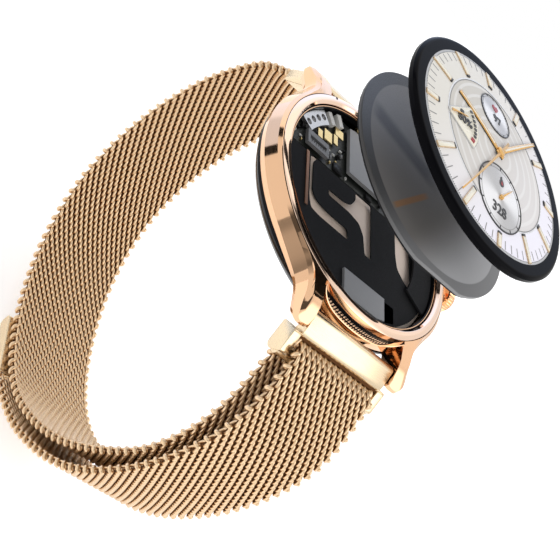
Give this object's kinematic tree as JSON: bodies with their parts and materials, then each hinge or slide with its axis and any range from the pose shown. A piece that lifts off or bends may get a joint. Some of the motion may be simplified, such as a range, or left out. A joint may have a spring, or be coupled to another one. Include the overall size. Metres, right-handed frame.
{
  "type": "smartwatch",
  "caption": "Round smartwatch with a polished metal case, lifted-out display module and cover glass, and a closed woven steel strap with a magnetic clasp.",
  "frame": {"origin": "centre of the flat face of the back crystal, where the case meets the wrist", "axes": "+Z out of the dial, +Y towards 12 o'clock, +X towards 3 o'clock and the crown"},
  "size_m": [0.0494, 0.0828, 0.1038],
  "materials": {
    "rose_gold_case": "polished rose gold plated steel",
    "rim_metal": "mirror polished pale rose gold",
    "black_back": "glossy black",
    "back_glass": "polished dark crystal",
    "seal_rubber": "matte rubber",
    "steel": "plain steel",
    "board": "dark solder mask",
    "shield_grey": "satin grey",
    "graphite": "matte black",
    "black_parts": "black",
    "chassis_metal": "satin pinkish metal",
    "gold_pad": "gold plated",
    "copper": "copper foil",
    "display_grey": "frosted grey",
    "cover_glass": "clear coated watch face",
    "strap_mesh": "woven champagne gold steel wire",
    "end_metal": "satin pale gold"
  },
  "bodies": {
    "case": {"mid_case": "rose_gold_case", "rim_ring": "rim_metal", "case_back": "black_back", "back_crystal": "back_glass", "back_seal": "seal_rubber", "back_screw_1": "steel", "back_screw_2": "steel", "back_screw_3": "steel", "back_screw_4": "steel", "sensor_board": "board", "sensor_ring": "shield_grey", "battery": "shield_grey", "vibration_motor": "steel", "speaker_box": "black_parts", "chassis_plate": "chassis_metal", "main_board": "board", "graphite_sheet": "graphite", "copper_strip": "copper", "lower_shield": "shield_grey", "lower_bracket": "black_parts", "upper_shield": "shield_grey", "display_socket": "shield_grey", "contact_pad_1": "gold_pad", "contact_pad_2": "gold_pad", "contact_pad_3": "gold_pad", "contact_pad_4": "gold_pad", "speaker_cover": "steel", "spring_contact_1": "steel", "spring_contact_2": "steel", "microphone": "gold_pad", "antenna_well": "black_parts", "crown_tube": "steel", "crown_switch": "black_parts"},
    "crown_plunger": {"crown_stem": "steel"},
    "crown_wheel": {"crown_knob": "rose_gold_case"},
    "display_module": {"display_panel": "display_grey", "display_backing": "black_parts", "display_flex": "copper"},
    "glass_cover": {"cover_glass": "cover_glass", "black_border": "black_parts", "touch_layer": "cover_glass"},
    "end_link": {"end_piece": "end_metal", "spring_bar_12": "steel", "strap_root": "strap_mesh"},
    "end_pin": {"release_pin_12": "black_parts"},
    "strap_loop": {"strap_mesh_1": "strap_mesh", "strap_mesh_2": "strap_mesh", "strap_mesh_3": "strap_mesh", "strap_mesh_4": "strap_mesh", "strap_mesh_5": "strap_mesh"},
    "buckle": {"buckle_loop": "end_metal", "spring_bar_6": "steel", "strap_fold": "strap_mesh"},
    "buckle_pin": {"release_pin_6": "black_parts"},
    "tail_link_1": {"tail_1": "strap_mesh"},
    "tail_link_2": {"tail_2": "strap_mesh"},
    "tail_link_3": {"tail_3": "strap_mesh"},
    "tail_link_4": {"tail_4": "strap_mesh", "clasp_shell": "end_metal", "clasp_magnet": "steel"}
  },
  "joints": [
    {"name": "display_lift", "type": "slide", "parent": "case", "child": "display_module", "axis": [0, 0, 1], "range_m": [-0.0126, 0]},
    {"name": "glass_lift", "type": "slide", "parent": "display_module", "child": "glass_cover", "axis": [0, 0, 1], "range_m": [-0.0087, 0]},
    {"name": "crown_press", "type": "slide", "parent": "case", "child": "crown_plunger", "axis": [-1, 0, 0], "range_m": [0, 0.0006], "stiffness_N_per_m": 600},
    {"name": "crown_spin", "type": "hinge", "parent": "crown_plunger", "child": "crown_wheel", "pos_m": [0.025, 0, 0.0059], "axis": [1, 0, 0], "continuous": true},
    {"name": "end_piece_pivot", "type": "hinge", "parent": "case", "child": "end_link", "pos_m": [0, 0.0239, 0.0054], "axis": [1, 0, 0], "range_deg": [-2.4, 2.4]},
    {"name": "strap_flex", "type": "hinge", "parent": "end_link", "child": "strap_loop", "pos_m": [0, 0.03576, -0.0058], "axis": [1, 0, 0], "range_deg": [-2.4, 2.4]},
    {"name": "buckle_pivot", "type": "hinge", "parent": "case", "child": "buckle", "pos_m": [0, -0.0239, 0.0054], "axis": [-1, 0, 0], "range_deg": [0, 4]},
    {"name": "end_pin_slide", "type": "slide", "parent": "end_link", "child": "end_pin", "axis": [-1, 0, 0], "range_m": [0, 0.0014], "stiffness_N_per_m": 300},
    {"name": "buckle_pin_slide", "type": "slide", "parent": "buckle", "child": "buckle_pin", "axis": [-1, 0, 0], "range_m": [0, 0.0014], "stiffness_N_per_m": 300},
    {"name": "tail_peel_1", "type": "hinge", "parent": "buckle", "child": "tail_link_1", "pos_m": [0, -0.02974, 0.00197], "axis": [-1, 0, 0], "range_deg": [0, 12]},
    {"name": "tail_peel_2", "type": "hinge", "parent": "tail_link_1", "child": "tail_link_2", "pos_m": [0, -0.03835, -0.01727], "axis": [-1, 0, 0], "range_deg": [0, 15]},
    {"name": "tail_peel_3", "type": "hinge", "parent": "tail_link_2", "child": "tail_link_3", "pos_m": [0, -0.03502, -0.03854], "axis": [-1, 0, 0], "range_deg": [0, 15]},
    {"name": "tail_peel_4", "type": "hinge", "parent": "tail_link_3", "child": "tail_link_4", "pos_m": [0, -0.02339, -0.0566], "axis": [-1, 0, 0], "range_deg": [0, 15]}
  ],
  "couplings": [
    {"joint": "strap_flex", "follows": "end_piece_pivot", "ratio": -1},
    {"joint": "tail_peel_2", "follows": "tail_peel_1", "ratio": 1.25},
    {"joint": "tail_peel_3", "follows": "tail_peel_1", "ratio": 1.25},
    {"joint": "tail_peel_4", "follows": "tail_peel_1", "ratio": 1.25}
  ]
}
